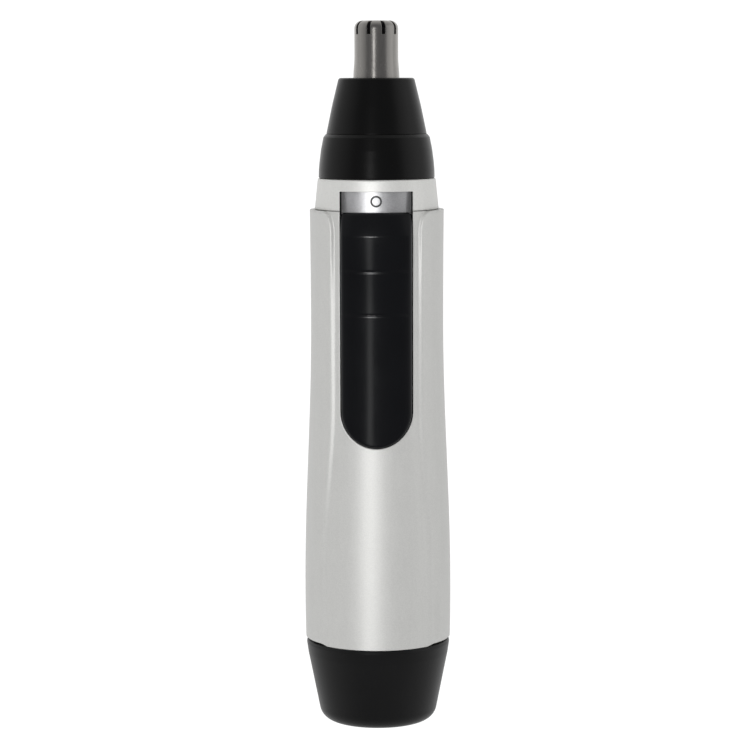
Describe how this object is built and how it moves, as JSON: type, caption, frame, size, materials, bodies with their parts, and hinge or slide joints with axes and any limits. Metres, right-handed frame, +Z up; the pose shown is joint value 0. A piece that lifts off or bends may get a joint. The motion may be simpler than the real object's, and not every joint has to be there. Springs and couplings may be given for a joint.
{
  "type": "nose hair trimmer",
  "caption": "Battery nose hair trimmer: slotted steel tip over a spinning cutter, twist-off black nozzle and battery cap, silver shell with a long thumb slide.",
  "frame": {"origin": "middle of the round foot of the battery cap, on the surface it stands on", "axes": "+Z up along the cutter's axis toward the tip, -Y out of the side with the thumb slide, +X to the right as that side is faced"},
  "size_m": [0.0282, 0.0276, 0.135],
  "materials": {
    "silver_paint": "satin",
    "track_silver": "satin",
    "black_gloss": "gloss",
    "black_satin": "satin",
    "blade_steel": "brushed",
    "frame_plastic": "matte",
    "white_plastic": "matte",
    "slider_plastic": "matte",
    "cell_jacket": "gloss",
    "contact_metal": "bright",
    "spring_steel": "bright",
    "motor_steel": "plated",
    "magnet": "matte",
    "bronze": "sintered",
    "board": "matte",
    "rotor_iron": "laminated",
    "copper": "enamelled",
    "seal_rubber": "matte",
    "cap_seal_rubber": "matte"
  },
  "bodies": {
    "chassis": {"front_shell": "silver_paint", "back_shell": "silver_paint", "neck_collar": "silver_paint", "switch_track": "track_silver", "battery_tube": "frame_plastic", "motor_cradle": "frame_plastic", "neck_spigot": "frame_plastic", "spindle_bearing": "white_plastic", "guide_ring": "frame_plastic", "battery_cell": "cell_jacket", "positive_contact": "contact_metal", "negative_strip": "contact_metal", "motor_can": "motor_steel", "motor_bell": "white_plastic", "motor_magnets": "magnet", "motor_bush": "bronze", "motor_terminals": "contact_metal", "switch_base": "board", "switch_contacts": "contact_metal"},
    "rotor": {"motor_shaft": "spring_steel", "commutator": "copper", "rotor_core": "rotor_iron", "rotor_windings": "copper", "drive_coupling": "white_plastic", "thrust_spring": "spring_steel"},
    "cutter": {"spindle": "white_plastic", "inner_blade": "blade_steel"},
    "head_carrier": {"head_seal": "seal_rubber"},
    "head": {"head_ring": "black_satin", "nozzle_cone": "black_satin", "outer_blade": "blade_steel"},
    "cap_carrier": {"cap_seal": "cap_seal_rubber"},
    "cap": {"battery_cap": "black_satin", "cap_contact": "contact_metal", "battery_spring": "spring_steel"},
    "slide_switch": {"switch_button": "black_gloss", "switch_slider": "slider_plastic", "switch_wiper": "contact_metal"}
  },
  "joints": [
    {"name": "motor_spin", "type": "hinge", "parent": "chassis", "child": "rotor", "pos_m": [0, 0, 0.08], "axis": [0, 0, 1], "continuous": true},
    {"name": "cutter_float", "type": "slide", "parent": "rotor", "child": "cutter", "axis": [0, 0, -1], "range_m": [0, 0.0005], "stiffness_N_per_m": 150, "springref_m": -0.0005, "deforming": ["thrust_spring"]},
    {"name": "head_pull", "type": "slide", "parent": "chassis", "child": "head_carrier", "axis": [0, 0, 1], "range_m": [0, 0.032]},
    {"name": "head_twist", "type": "hinge", "parent": "head_carrier", "child": "head", "pos_m": [0, 0, 0.1075], "axis": [0, 0, 1], "range_deg": [0, 30]},
    {"name": "cap_pull", "type": "slide", "parent": "chassis", "child": "cap_carrier", "axis": [0, 0, -1], "range_m": [0, 0.018]},
    {"name": "cap_twist", "type": "hinge", "parent": "cap_carrier", "child": "cap", "pos_m": [0, 0, 0.01905], "axis": [0, 0, -1], "range_deg": [0, 30]},
    {"name": "thumb_slide", "type": "slide", "parent": "chassis", "child": "slide_switch", "axis": [0, 0, 1], "range_m": [0, 0.0037]}
  ]
}
